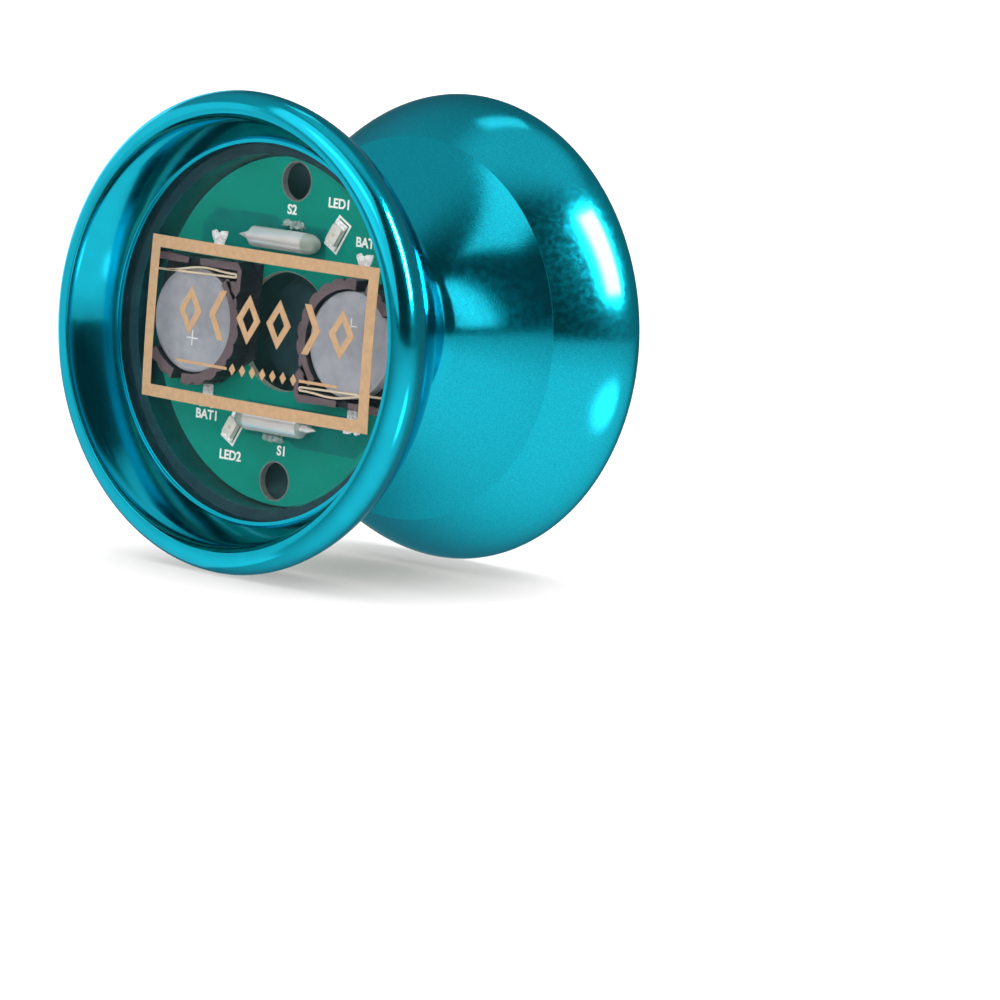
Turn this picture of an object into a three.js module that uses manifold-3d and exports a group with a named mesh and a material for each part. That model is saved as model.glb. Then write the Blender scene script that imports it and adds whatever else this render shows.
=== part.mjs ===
// A lighted metal yo-yo, in millimetres, +Z up.
// The spin axis is X, and the origin is on it, in the middle of the string gap.
// Both halves are the same assembly: the front half faces -X and the rear half +X.
// Inside a half, u runs to the right and v upward on its face, and w runs outward
// from the mid plane between the halves.
import * as THREE from 'three';
import { mergeVertices } from 'three/addons/utils/BufferGeometryUtils.js';
import Module from 'manifold-3d';

const wasm = await Module();
wasm.setup();

// ---- Driving dimensions -------------------------------------------------

const outerDiameter = 56;
const overallWidth = 43;
const gap = 0.3; // clearance between two pieces
const sides = 40; // flats round a large turned piece
const midSides = 28; // flats round a cell or a race
const smallSides = 16; // flats round a pin or a ball

// Half body: rim, flared inner wall and dish.
const rimRadius = outerDiameter / 2;
const crestW = overallWidth / 2;
const rimRound = 2.17;
const crestR = rimRadius - rimRound;
const rimW = crestW - rimRound;
const landWidth = 0.5; // narrow flat ring on the crest
const lip = [24.45, 19.86]; // [radius, w], as are the next three
const hub = [13, 3.55];
const crease = [22.9, 10.4];
const seatLedge = [22.44, 15.85];
const hubStep = 1.5; // width of the rounded step up to the hub
const hubSag = 0.17;
const wallBulge = 0.3; // how far the flared wall stands out from a straight cone
const lipBulge = 0.12;
const dishSag = 0.12;
const hubFloorW = 5.8;
const bossR = 5.6;
const bossFoot = 1.2;
const boreWall = 0.9; // metal left beyond the blind bore
const bedClearance = 0.2; // under the bearing and under each pad

// Circuit board and its cavity.
const boardRadius = 20.4;
const boardTopW = 10.86;
const boardThickness = 0.8;
const boardHoleR = 6.93;
const ventHoleR = 2.25;
const ventPitchR = 17.6;
const boardLedge = 1.2; // width of the ledge under its edge
const cavityR = boardRadius + gap;
const boardSeatW = boardTopW - boardThickness - gap / 2;

// Clear cap and its seat.
const capRadius = 21.86;
const capThickness = 1;
const capCrownW = 16.3;
const capEdgeW = 15.3;
const capFloorW = 14.35;
const capEdgeStep = 0.2;

// Ball bearing of the common 1/4 by 1/2 by 3/16 inch size.
const bearingBoreR = 6.35 / 2;
const bearingOuterR = 12.7 / 2;
const bearingHalfWidth = 4.76 / 2;
const ballCount = 8;
const ballR = 1.588 / 2;
const ballPitchR = (bearingBoreR + bearingOuterR) / 2;
const grooveR = ballR + gap / 2;
const innerLandR = 4.1;
const outerLandR = 5.42;
const cageHalfWidth = 1.35;
const shieldOuterW = bearingHalfWidth - 0.15;
const shieldThickness = 0.25;

// M4 set screw with a 2 mm key socket.
const axleR = 2;
const axleHalfLength = 7.5;
const socketFlats = 2;
const socketDepth = 2;

// Response pads and wound string.
const responseW = 2.4;
const padInnerR = 7.15;
const padOuterR = 9.55;
const padDepth = 1;
const stringPitch = 1.05; // from turn to turn of a 1 mm string
const turnsAcross = 4;
const windingLayers = 5;
const windingInnerR = bearingOuterR + gap;
const windingOuterR = bearingOuterR + windingLayers * stringPitch;
const windingHalfWidth = turnsAcross * stringPitch / 2;

// Coin cells of 12.5 by 2 mm and their holders.
const cellR = 12.5 / 2;
const cellThickness = 2;
const cellOffset = 12.4;
const cellPocketR = cellR + 0.2;
const holderReach = boardRadius - gap;
const holderInnerU = 4.1;
const holderLowV = -7.2;
const holderHighV = 7.4;
const baseCut = [5.3, 3.6]; // slanted cut off the base's lower inner corner
const holderFootW = boardTopW + gap / 2;
const holderBase = 0.35;
const holderWall = 0.9;
const wallStart = -0.8 * Math.PI; // the wall round the cell, as angles about its axis
const wallEnd = 0.25 * Math.PI;
const barLeft = -6; // the bar above the cell, measured from its axis
const barRight = 7.6;
const barLowV = 6.6;
const barEndWidth = 0.7;
const barEndLowV = 2;
const highNotch = [-0.95, 0.95]; // cut through the bar, measured from the cell's axis
const lowNotch = [-1.6, -0.3]; // cut through the wall
const cellFloorW = holderFootW + holderBase + 0.1;
const cellTopW = cellFloorW + cellThickness;
const holderTopW = cellTopW + 0.55;
const contactThickness = 0.24;

// Motion switches and lamps.
const switchR = 1.25;
const switchLength = 10.3;
const switchBead = 1.9; // length of the rounded insulating end
const leadLength = 2.2;
const switchPlace = [0.25, 10.7];
const ledPitchR = 14;
const ledAngle = Math.PI / 3;
const ledLength = 3.2;
const ledWidth = 1.6;
const ledHeight = 0.8;

// ---- Materials ----------------------------------------------------------

function finish(color, roughness, metalness) {
  return new THREE.MeshStandardMaterial({ color, roughness, metalness });
}

const anodised = finish(0x0f8ca3, 0.3, 0.9);
const clearPlastic = finish(0xdfeaee, 0.08, 0);
clearPlastic.transparent = true;
clearPlastic.opacity = 0.35;
const boardGreen = finish(0x0c7d63, 0.45, 0);
const holderPlastic = finish(0x3b3335, 0.6, 0);
const cellSteel = finish(0xa9abb4, 0.35, 0.8);
const contactGold = finish(0xd9b98a, 0.3, 0.9);
const switchSteel = finish(0xc9c6c2, 0.25, 0.9);
const ledWhite = finish(0xf1efe8, 0.4, 0);
const bearingSteel = finish(0xb8bcc0, 0.2, 1);
const cageBrass = finish(0xb89a5a, 0.35, 0.9);
const padSilicone = finish(0xe8e6df, 0.7, 0);
const axleSteel = finish(0x55585c, 0.35, 0.9);
const stringYarn = finish(0xc9dc3a, 0.9, 0);

// ---- Geometry helpers ---------------------------------------------------

// A solid of revolution about the local Z axis, from [radius, height] points.
// Its flats, not its corners, lie on the true circle, and one flat faces down.
function turned(points, segments = sides) {
  const half = Math.PI / segments;
  const profile = points.map(([r, w]) => new THREE.Vector2(r / Math.cos(half), w));
  return new THREE.LatheGeometry(profile, segments, half).rotateX(Math.PI / 2);
}

// A ring whose profile closes on itself.
function turnedRing(points, segments = sides) {
  return turned([...points, points[0]], segments);
}

// A plain ring of rectangular section.
function flatRing(innerR, outerR, lowW, highW, segments = sides) {
  return turnedRing([[innerR, lowW], [outerR, lowW], [outerR, highW], [innerR, highW]], segments);
}

// The points inside an arc that bulges sideways from its chord. A positive
// bulge is to the left of the way from the first end to the second.
function arcPoints([r0, w0], [r1, w1], bulge, steps) {
  const half = Math.hypot(r1 - r0, w1 - w0) / 2;
  const along = [(r1 - r0) / half / 2, (w1 - w0) / half / 2];
  const size = Math.abs(bulge);
  const radius = (half * half + size * size) / (2 * size);
  const points = [];
  for (let i = 1; i < steps; i += 1) {
    const s = (2 * i / steps - 1) * half;
    const rise = Math.sign(bulge) * (Math.sqrt(radius * radius - s * s) - radius + size);
    points.push([
      (r0 + r1) / 2 + along[0] * s - along[1] * rise,
      (w0 + w1) / 2 + along[1] * s + along[0] * rise,
    ]);
  }
  return points;
}

// The points inside the shoulder, which leaves the crease at a slant and has
// turned parallel to the axis by the rim.
function shoulderPoints(steps) {
  const points = [];
  for (let i = 1; i < steps; i += 1) {
    const share = i / steps;
    const r = rimRadius - (rimRadius - crease[0]) * (1 - share) ** 1.5;
    points.push([r, crease[1] + (rimW - crease[1]) * share]);
  }
  return points;
}

// A quarter circle from the widest point up to the crest, both ends included.
function rimPoints(steps) {
  const points = [];
  for (let i = 0; i <= steps; i += 1) {
    const angle = Math.PI / 2 * i / steps;
    points.push([crestR + rimRound * Math.cos(angle), rimW + rimRound * Math.sin(angle)]);
  }
  return points;
}

// A (u, v) outline raised along w from one height to another.
function raised(shape, lowW, highW, curveSegments = 12) {
  const geometry = new THREE.ExtrudeGeometry(shape, {
    depth: highW - lowW, bevelEnabled: false, curveSegments,
  });
  return geometry.translate(0, 0, lowW);
}

function outline(points) {
  return new THREE.Shape(points.map(([u, v]) => new THREE.Vector2(u, v)));
}

function rectangle(lowU, highU, lowV, highV) {
  return outline([[lowU, lowV], [highU, lowV], [highU, highV], [lowU, highV]]);
}

function solid(geometry) {
  const bare = geometry.clone();
  bare.deleteAttribute('normal');
  bare.deleteAttribute('uv');
  const merged = mergeVertices(bare, 1e-4);
  return new wasm.Manifold(new wasm.Mesh({
    numProp: 3,
    vertProperties: new Float32Array(merged.attributes.position.array),
    triVerts: new Uint32Array(merged.index.array),
  }));
}

function fromSolid(body) {
  const mesh = body.getMesh();
  const geometry = new THREE.BufferGeometry();
  geometry.setAttribute('position', new THREE.BufferAttribute(mesh.vertProperties, 3));
  geometry.setIndex(new THREE.BufferAttribute(mesh.triVerts, 1));
  geometry.computeVertexNormals();
  return geometry;
}

function piece(name, geometry, material) {
  const mesh = new THREE.Mesh(geometry, material);
  mesh.name = name;
  return mesh;
}

// ---- One half -----------------------------------------------------------

// The metal cup, from its blind axle bore round the bearing seat, pad groove,
// flared wall, rim and dish to the boss inside its cavity.
function halfBodyGeometry() {
  const boreR = axleR + gap;
  const boreEndW = axleHalfLength + gap;
  const postR = bearingBoreR - gap;
  const shoulderR = innerLandR - gap / 3; // carries the inner race only
  const bearingSeatR = bearingOuterR + gap;
  const bearingSeatW = bearingHalfWidth + bedClearance;
  const grooveInnerR = padInnerR - gap / 2;
  const grooveOuterR = padOuterR + gap / 2;
  const grooveW = responseW + padDepth + bedClearance;
  const hubFoot = [hub[0] - hubStep, responseW];
  const land = [crestR - landWidth, crestW];
  const capSeatR = capRadius + gap / 2;
  const capSeatW = capFloorW - gap / 2;
  const axleSide = [
    [0, boreEndW],
    [boreR, boreEndW],
    [boreR, gap / 2],
    [postR, gap / 2],
    [postR, bearingSeatW],
    [shoulderR, bearingSeatW],
    [shoulderR, bearingSeatW + gap],
    [bearingSeatR, bearingSeatW + gap],
    [bearingSeatR, responseW],
    [grooveInnerR, responseW],
    [grooveInnerR, grooveW],
    [grooveOuterR, grooveW],
    [grooveOuterR, responseW],
    hubFoot,
    ...arcPoints(hubFoot, hub, -hubSag, 3),
  ];
  const flaredWall = [hub, ...arcPoints(hub, crease, wallBulge, 3), crease, ...shoulderPoints(4)];
  const rim = [...rimPoints(4), land, ...arcPoints(land, lip, lipBulge, 2), lip];
  const dish = [
    ...arcPoints(lip, seatLedge, -dishSag, 3),
    seatLedge,
    [capSeatR, seatLedge[1]],
    [capSeatR, capSeatW],
    [cavityR, capSeatW],
  ];
  const cavity = [
    [cavityR, boardSeatW],
    [boardRadius - boardLedge, boardSeatW],
    [hub[0], hubFloorW],
    [bossR + bossFoot, hubFloorW],
    [bossR, hubFloorW + bossFoot],
    [bossR, boreEndW + boreWall],
    [0, boreEndW + boreWall],
  ];
  return turned([...axleSide, ...flaredWall, ...rim, ...dish, ...cavity]);
}

// The clear domed cap, with a stepped edge that snaps into its seat.
function capGeometry() {
  const plugR = cavityR - gap;
  const domeR = capRadius - capEdgeStep;
  const underW = capCrownW - capThickness;
  const steps = 3;
  const points = [];
  for (let i = 0; i <= steps; i += 1) {
    const share = i / steps;
    points.push([plugR * share, underW - (underW - capFloorW) * share ** 2]);
  }
  points.push([capRadius, capFloorW], [capRadius, capEdgeW - capEdgeStep]);
  for (let i = steps; i >= 0; i -= 1) {
    const share = i / steps;
    points.push([domeR * share, capCrownW - (capCrownW - capEdgeW) * share ** 2]);
  }
  return turned(points);
}

// The round board, with its middle hole and two smaller holes on one diameter.
function boardGeometry() {
  const disc = new THREE.Shape();
  disc.absarc(0, 0, boardRadius, 0, 2 * Math.PI, false);
  const holes = [[0, boardHoleR], [ventPitchR, ventHoleR], [-ventPitchR, ventHoleR]];
  for (const [v, radius] of holes) {
    const hole = new THREE.Path();
    hole.absarc(0, v, radius, 0, 2 * Math.PI, true);
    disc.holes.push(hole);
  }
  return raised(disc, boardTopW - boardThickness, boardTopW, 20);
}

// A cell holder on the left of the board: a flat base that follows the board's
// edge, with a wall round the right and low sides of the cell and a bar above it.
function holderGeometry() {
  const baseTopW = holderFootW + holderBase;
  const base = new THREE.Shape();
  base.moveTo(-holderInnerU - baseCut[0], holderLowV);
  base.lineTo(-holderInnerU, holderLowV + baseCut[1]);
  base.lineTo(-holderInnerU, holderHighV);
  const highAngle = Math.PI - Math.asin(holderHighV / holderReach);
  const lowAngle = Math.PI - Math.asin(holderLowV / holderReach);
  base.absarc(0, 0, holderReach, highAngle, lowAngle, false);
  const wallR = cellPocketR + holderWall;
  const ring = new THREE.Shape();
  ring.absarc(-cellOffset, 0, wallR, wallStart, wallEnd, false);
  ring.absarc(-cellOffset, 0, cellPocketR, wallEnd, wallStart, true);
  const bar = outline([
    [-cellOffset + barLeft, barLowV],
    [-cellOffset + barRight - barEndWidth, barLowV],
    [-cellOffset + barRight - barEndWidth, barEndLowV],
    [-cellOffset + barRight, barEndLowV],
    [-cellOffset + barRight, holderHighV],
    [-cellOffset + barLeft, holderHighV],
  ]);
  const cut = ([fromU, toU], lowV, highV) => {
    const opening = rectangle(-cellOffset + fromU, -cellOffset + toU, lowV, highV);
    return solid(raised(opening, cellFloorW, holderTopW + holderWall));
  };
  const body = solid(raised(base, holderFootW, baseTopW))
    .add(solid(raised(ring, holderFootW, holderTopW, 14)))
    .add(solid(raised(bar, holderFootW, holderTopW)))
    .subtract(cut(highNotch, cellR, holderHighV + holderWall))
    .subtract(cut(lowNotch, -wallR - holderWall, -cellR));
  return fromSolid(body);
}

// A coin cell with a rounded edge, centred on its own axis.
function cellGeometry() {
  const edge = 0.25;
  return turned([
    [0, cellFloorW],
    [cellR - 2 * edge, cellFloorW],
    [cellR, cellFloorW + 2 * edge],
    [cellR, cellTopW - edge],
    [cellR - edge, cellTopW],
    [0, cellTopW],
  ], midSides);
}

// A gold contact folded like a hairpin over the top of the cell. The lower leg is
// straight and climbs a little to the fold, and the upper leg bows back from it.
function contactGeometry() {
  const thick = contactThickness;
  const endU = -cellOffset - 5.7;
  const foldU = -cellOffset + 6.6;
  const crestU = -cellOffset + 0.8;
  const tipU = -cellOffset - 4;
  const endV = 5.26;
  const foldLowV = 5.58;
  const foldHighV = 5.98;
  const crestV = 6.17;
  const tipV = 5.72;
  const shape = outline([
    [endU, endV],
    [foldU, foldLowV],
    [foldU, foldHighV + thick],
    [crestU, crestV + thick],
    [tipU, tipV + thick],
    [tipU, tipV],
    [crestU, crestV],
    [foldU - thick, foldHighV],
    [foldU - thick, foldLowV + thick],
    [endU, endV + thick],
  ]);
  return raised(shape, cellTopW + gap / 3, holderTopW);
}

// A rolling-ball motion switch: a steel can with a rounded end and a pointed lead.
function switchGeometry() {
  const half = switchLength / 2;
  const edge = 0.2;
  const neckR = 0.4;
  const bulbR = 0.5;
  const tipR = 0.15;
  const roundedEnd = [];
  const steps = 3;
  for (let i = 0; i <= steps; i += 1) {
    const angle = Math.PI / 2 * i / steps;
    const r = i < steps ? switchR * Math.cos(angle) : 0;
    roundedEnd.push([r, half - switchBead * (1 - Math.sin(angle))]);
  }
  const can = turned([
    [0, -half - leadLength],
    [tipR, -half - leadLength],
    [bulbR, -half - 0.4 * leadLength],
    [neckR, -half],
    [switchR - edge, -half],
    [switchR, -half + edge],
    ...roundedEnd,
  ], smallSides);
  return can.rotateY(Math.PI / 2).translate(...switchPlace, boardTopW + switchR + gap / 2);
}

// A surface-mounted lamp whose long side points along a radius of the board.
function ledGeometry() {
  const lamp = rectangle(-ledLength / 2, ledLength / 2, -ledWidth / 2, ledWidth / 2);
  const lowW = boardTopW + gap / 2;
  return raised(lamp, lowW, lowW + ledHeight).translate(ledPitchR, 0, 0).rotateZ(ledAngle);
}

// The silicone ring that grips the string.
function padGeometry() {
  return flatRing(padInnerR, padOuterR, responseW, responseW + padDepth);
}

// One half in its own frame. The board's fittings come in two sets, the second
// turned half a turn round the axis from the first.
function halfAssembly(side) {
  const half = new THREE.Group();
  half.add(
    piece(`${side}_half_body`, halfBodyGeometry(), anodised),
    piece(`${side}_response_pad`, padGeometry(), padSilicone),
    piece(`${side}_circuit_board`, boardGeometry(), boardGreen),
    piece(`${side}_clear_cap`, capGeometry(), clearPlastic),
  );
  for (const [number, turn] of [[1, 0], [2, Math.PI]]) {
    const set = new THREE.Group();
    set.rotation.z = turn;
    const cell = piece(`${side}_coin_cell_${number}`, cellGeometry(), cellSteel);
    cell.position.x = -cellOffset;
    set.add(
      cell,
      piece(`${side}_cell_holder_${number}`, holderGeometry(), holderPlastic),
      piece(`${side}_cell_contact_${number}`, contactGeometry(), contactGold),
      piece(`${side}_motion_switch_${number}`, switchGeometry(), switchSteel),
      piece(`${side}_led_${number}`, ledGeometry(), ledWhite),
    );
    half.add(set);
  }
  return half;
}

// ---- Bearing, axle and string, turned about local Z ----------------------

// The ball groove of a race, as points across it. The groove's circle is centred
// on the ball circle, so it cuts into the land at landR.
function groovePoints(landR, steps) {
  const toLand = landR - ballPitchR;
  const span = Math.acos(Math.abs(toLand) / grooveR);
  const points = [];
  for (let i = 0; i <= steps; i += 1) {
    const angle = span * (2 * i / steps - 1);
    points.push([
      ballPitchR + Math.sign(toLand) * grooveR * Math.cos(angle),
      grooveR * Math.sin(angle),
    ]);
  }
  return points;
}

function innerRaceGeometry() {
  return turnedRing([
    [bearingBoreR, bearingHalfWidth],
    [bearingBoreR, -bearingHalfWidth],
    [innerLandR, -bearingHalfWidth],
    ...groovePoints(innerLandR, 4),
    [innerLandR, bearingHalfWidth],
  ], midSides);
}

function outerRaceGeometry() {
  return turnedRing([
    [bearingOuterR, -bearingHalfWidth],
    [bearingOuterR, bearingHalfWidth],
    [outerLandR, bearingHalfWidth],
    ...groovePoints(outerLandR, 4).reverse(),
    [outerLandR, -bearingHalfWidth],
  ], midSides);
}

function ballGeometry(index) {
  const angle = 2 * Math.PI * index / ballCount;
  return new THREE.SphereGeometry(ballR, 10, 7)
    .translate(ballPitchR * Math.cos(angle), ballPitchR * Math.sin(angle), 0);
}

// The cage is a band with a round pocket through it for each ball.
function cageGeometry() {
  const pocketR = grooveR + gap / 6;
  const innerR = innerLandR + gap;
  const outerR = outerLandR - gap;
  const band = flatRing(innerR, outerR, -cageHalfWidth, cageHalfWidth, midSides);
  let cage = solid(band);
  for (let i = 0; i < ballCount; i += 1) {
    const angle = 2 * Math.PI * i / ballCount;
    const pocket = new THREE.SphereGeometry(pocketR, 8, 6)
      .translate(ballPitchR * Math.cos(angle), ballPitchR * Math.sin(angle), 0);
    cage = cage.subtract(solid(pocket));
  }
  return fromSolid(cage);
}

function shieldGeometry(end) {
  const innerR = innerLandR + gap;
  const outerR = outerLandR - gap / 3; // pressed into a step of the outer race
  const nearW = end * (shieldOuterW - shieldThickness);
  const farW = end * shieldOuterW;
  return flatRing(innerR, outerR, Math.min(nearW, farW), Math.max(nearW, farW), midSides);
}

// The headless axle screw, with a key socket in its front end.
function axleGeometry() {
  const chamfer = 0.4;
  const screw = turned([
    [0, -axleHalfLength],
    [axleR - chamfer, -axleHalfLength],
    [axleR, -axleHalfLength + chamfer],
    [axleR, axleHalfLength - chamfer],
    [axleR - chamfer, axleHalfLength],
    [0, axleHalfLength],
  ], smallSides);
  const socketR = socketFlats / 2 / Math.cos(Math.PI / 6);
  const socket = new THREE.CylinderGeometry(socketR, socketR, 2 * socketDepth, 6)
    .rotateX(Math.PI / 2)
    .translate(0, 0, axleHalfLength);
  return fromSolid(solid(screw).subtract(solid(socket)));
}

// The string, wound in even layers on the outer race.
function windingGeometry() {
  return flatRing(windingInnerR, windingOuterR, -windingHalfWidth, windingHalfWidth);
}

function centreAssembly() {
  const centre = new THREE.Group();
  centre.add(
    piece('axle_screw', axleGeometry(), axleSteel),
    piece('bearing_inner_race', innerRaceGeometry(), bearingSteel),
    piece('bearing_outer_race', outerRaceGeometry(), bearingSteel),
    piece('bearing_cage', cageGeometry(), cageBrass),
    piece('bearing_shield_front', shieldGeometry(1), bearingSteel),
    piece('bearing_shield_rear', shieldGeometry(-1), bearingSteel),
    piece('string_winding', windingGeometry(), stringYarn),
  );
  for (let i = 0; i < ballCount; i += 1) {
    centre.add(piece(`bearing_ball_${i + 1}`, ballGeometry(i), bearingSteel));
  }
  return centre;
}

// ---- The yo-yo -----------------------------------------------------------

// Turns a group so that its w axis points forward (-X) or back (+X).
function facing(group, forward) {
  const u = new THREE.Vector3(0, forward ? -1 : 1, 0);
  const v = new THREE.Vector3(0, 0, 1);
  const w = new THREE.Vector3(forward ? -1 : 1, 0, 0);
  group.quaternion.setFromRotationMatrix(new THREE.Matrix4().makeBasis(u, v, w));
  return group;
}

const yoyo = new THREE.Group();
yoyo.add(
  facing(halfAssembly('front'), true),
  facing(halfAssembly('rear'), false),
  facing(centreAssembly(), true),
);

export default yoyo;
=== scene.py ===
"""The looks of a lighted metal yo-yo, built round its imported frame.

Lengths are in millimetres until a mesh is placed, which turns them into metres.
Inside a half, u runs to the right and v upward on its face, and w runs outward
from the mid plane between the halves.
"""
import math

import bmesh
import bpy
from mathutils import Matrix, Vector, noise


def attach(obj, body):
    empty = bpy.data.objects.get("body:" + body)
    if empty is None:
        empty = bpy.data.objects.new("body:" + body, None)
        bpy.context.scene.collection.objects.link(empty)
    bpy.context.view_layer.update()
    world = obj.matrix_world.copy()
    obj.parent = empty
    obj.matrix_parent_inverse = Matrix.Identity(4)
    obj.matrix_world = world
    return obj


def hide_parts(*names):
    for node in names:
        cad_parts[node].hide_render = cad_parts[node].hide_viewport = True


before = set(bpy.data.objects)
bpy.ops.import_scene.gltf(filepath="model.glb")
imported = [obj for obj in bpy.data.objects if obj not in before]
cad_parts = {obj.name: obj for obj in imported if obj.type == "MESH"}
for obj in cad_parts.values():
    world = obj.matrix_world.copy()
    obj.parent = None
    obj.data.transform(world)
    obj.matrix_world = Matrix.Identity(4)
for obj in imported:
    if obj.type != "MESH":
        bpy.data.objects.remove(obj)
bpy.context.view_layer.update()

MM = 0.001
SCENE = bpy.context.scene

# ---- Driving dimensions ------------------------------------------------------

GAP = 0.3
ROUND_SEGMENTS = 256  # flats round a large turned piece
MID_SEGMENTS = 96
SMALL_SEGMENTS = 48

# Half body.
RIM_RADIUS = 28.0
CREST_W = 21.5
RIM_ROUND = 2.17
CREST_R = RIM_RADIUS - RIM_ROUND
RIM_W = CREST_W - RIM_ROUND
LAND_WIDTH = 0.5
LIP = (24.45, 19.86)
HUB = (13.0, 3.55)
CREASE = (22.9, 10.4)
HUB_FLOOR_W = 5.8
BOSS_R = 5.6

# Circuit board and its cavity.
BOARD_RADIUS = 20.4
BOARD_TOP_W = 10.86
BOARD_THICKNESS = 0.8
BOARD_HOLE_R = 6.93
VENT_HOLE_R = 2.25
VENT_PITCH_R = 17.6
CAVITY_R = BOARD_RADIUS + GAP
BOARD_SEAT_W = BOARD_TOP_W - BOARD_THICKNESS - GAP / 2
LEGEND_HEIGHT = 1.1
LEGEND = (("S2", -0.4, 14.2), ("LED1", 6.9, 15.65), ("BAT2", 11.7, 11.6),
          ("S1", 0.8, -14.0), ("LED2", -7.3, -15.6), ("BAT1", -11.5, -11.3))
SOLDER_PADS = ((-11.5, 9.8), (11.5, 9.6))
INK = 0.03  # thickness of ink, copper and plating
PLATING_WIDTH = 0.12

# Clear cap and its seat.
CAP_RADIUS = 21.86
CAP_DOME_R = CAP_RADIUS - 0.2
CAP_THICKNESS = 1.0
CAP_CROWN_W = 16.3
CAP_EDGE_W = 15.3
CAP_FLOOR_W = 14.35
SEAT_LEDGE = (22.44, 15.85)
LIP_BULGE = 0.12
DISH_SAG = 0.12
PRINT_HALF_WIDTH = 17.95
PRINT_HALF_HEIGHT = 9.55
PRINT_BAND = 1.45
ROW_CENTRE = (1.4, 1.35)  # of the row of diamonds and arrowheads
ROW_PITCH = 4.75
DIAMOND = (1.9, 2.9)  # half width and half height
DIAMOND_HOLE = (0.9, 1.5)
CHEVRON_REACH = 1.6
CHEVRON_STROKE = 1.0
RULE_V = -4.7  # height of the rules and the small diamonds between them
RULE_SPANS = ((-12.3, -3.9), (7.5, 13.2))
RULE_WIDTH = 0.34
SMALL_DIAMOND = (0.5, 0.72)
SMALL_COUNT = 7
SMALL_PITCH = 1.6
SMALL_CENTRE_U = 1.8
PRINT_THICKNESS = 0.05

# Ball bearing.
BEARING_BORE_R = 6.35 / 2
BEARING_OUTER_R = 12.7 / 2
BEARING_HALF_WIDTH = 4.76 / 2
BALL_COUNT = 8
BALL_R = 1.588 / 2
BALL_PITCH_R = (BEARING_BORE_R + BEARING_OUTER_R) / 2
GROOVE_R = BALL_R + 0.15
INNER_LAND_R = 4.1
OUTER_LAND_R = 5.42
CAGE_HALF_WIDTH = 1.35
SHIELD_OUTER_W = BEARING_HALF_WIDTH - 0.15
SHIELD_THICKNESS = 0.25

# Axle screw.
AXLE_R = 2.0
AXLE_HALF_LENGTH = 7.5
THREAD_PITCH = 0.7
THREAD_DEPTH = 0.32
SOCKET_FLATS = 2.0
SOCKET_DEPTH = 2.0

# Response pads and string.
RESPONSE_W = 2.4
PAD_INNER_R = 7.15
PAD_OUTER_R = 9.55
PAD_DEPTH = 1.0
STRING_DIAMETER = 1.0
STRING_PITCH = 1.05
TURNS_ACROSS = 4
WINDING_LAYERS = 5

# Coin cells and their holders.
CELL_R = 12.5 / 2
CELL_THICKNESS = 2.0
CELL_OFFSET = 12.4
POCKET_R = CELL_R + 0.2
HOLDER_REACH = BOARD_RADIUS - GAP
HOLDER_INNER_U = 4.1
HOLDER_LOW_V = -7.2
HOLDER_HIGH_V = 7.4
BASE_CUT = (5.3, 3.6)  # slanted cut off a holder base's lower inner corner
HOLDER_FOOT_W = BOARD_TOP_W + GAP / 2
HOLDER_BASE = 0.35
BAR_LOW_V = 6.55
NOTCH_HALF_WIDTH = 0.95
CELL_FLOOR_W = HOLDER_FOOT_W + HOLDER_BASE + 0.1
CELL_TOP_W = CELL_FLOOR_W + CELL_THICKNESS
HOLDER_TOP_W = CELL_TOP_W + 0.55
STRIP_THICKNESS = 0.24

# Motion switches and lamps.
SWITCH_R = 1.25
SWITCH_LENGTH = 10.3
SWITCH_BEAD = 1.9  # length of the rounded insulating end
SWITCH_PLACE = (0.25, 10.7)
LEAD_LENGTH = 2.2
LED_PITCH_R = 14.0
LED_ANGLE = math.pi / 3
LED_LENGTH = 3.2
LED_WIDTH = 1.6
LED_HEIGHT = 0.8

# Camera. Lengths are in millimetres and angles in degrees.
CAMERA_AZIMUTH = -48.28
CAMERA_ELEVATION = 5.5
CAMERA_ROLL = 4.47
CAMERA_DISTANCE = 690.6
AIM_RIGHT = 17.94  # how far right of the object's centre and below it the camera aims
AIM_DOWN = 20.1
LENS = 210.6
SENSOR = 36.0
FLOOR_RADIUS = 2400.0

# The front half faces -X and the rear half +X.
HALVES = {
    "front": Matrix(((0, 0, -1, 0), (-1, 0, 0, 0), (0, 1, 0, 0), (0, 0, 0, 1))),
    "rear": Matrix(((0, 0, 1, 0), (1, 0, 0, 0), (0, 1, 0, 0), (0, 0, 0, 1))),
}


# ---- Camera, floor and lights ------------------------------------------------

def direction(azimuth, elevation):
    """The unit vector towards a place round the object, from two angles in degrees."""
    a = math.radians(azimuth)
    e = math.radians(elevation)
    return Vector((math.sin(a) * math.cos(e), -math.cos(a) * math.cos(e), math.sin(e)))


def make_camera():
    """A long lens, a little above the axis and slightly rolled."""
    back = direction(CAMERA_AZIMUTH, CAMERA_ELEVATION)
    level = Vector((0, 0, 1)).cross(back).normalized()
    upright = back.cross(level)
    roll = math.radians(CAMERA_ROLL)
    right = level * math.cos(roll) + upright * math.sin(roll)
    up = upright * math.cos(roll) - level * math.sin(roll)
    place = back * CAMERA_DISTANCE * MM
    target = (right * AIM_RIGHT - up * AIM_DOWN) * MM
    behind = (place - target).normalized()
    across = up.cross(behind).normalized()
    over = behind.cross(across)
    data = bpy.data.cameras.new("camera")
    data.sensor_width = SENSOR
    data.lens = LENS
    data.clip_start = 0.05
    data.clip_end = 50.0
    camera = bpy.data.objects.new("camera", data)
    SCENE.collection.objects.link(camera)
    turned = Matrix((across, over, behind)).transposed().to_4x4()
    camera.matrix_world = Matrix.Translation(place) @ turned
    SCENE.camera = camera


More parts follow.
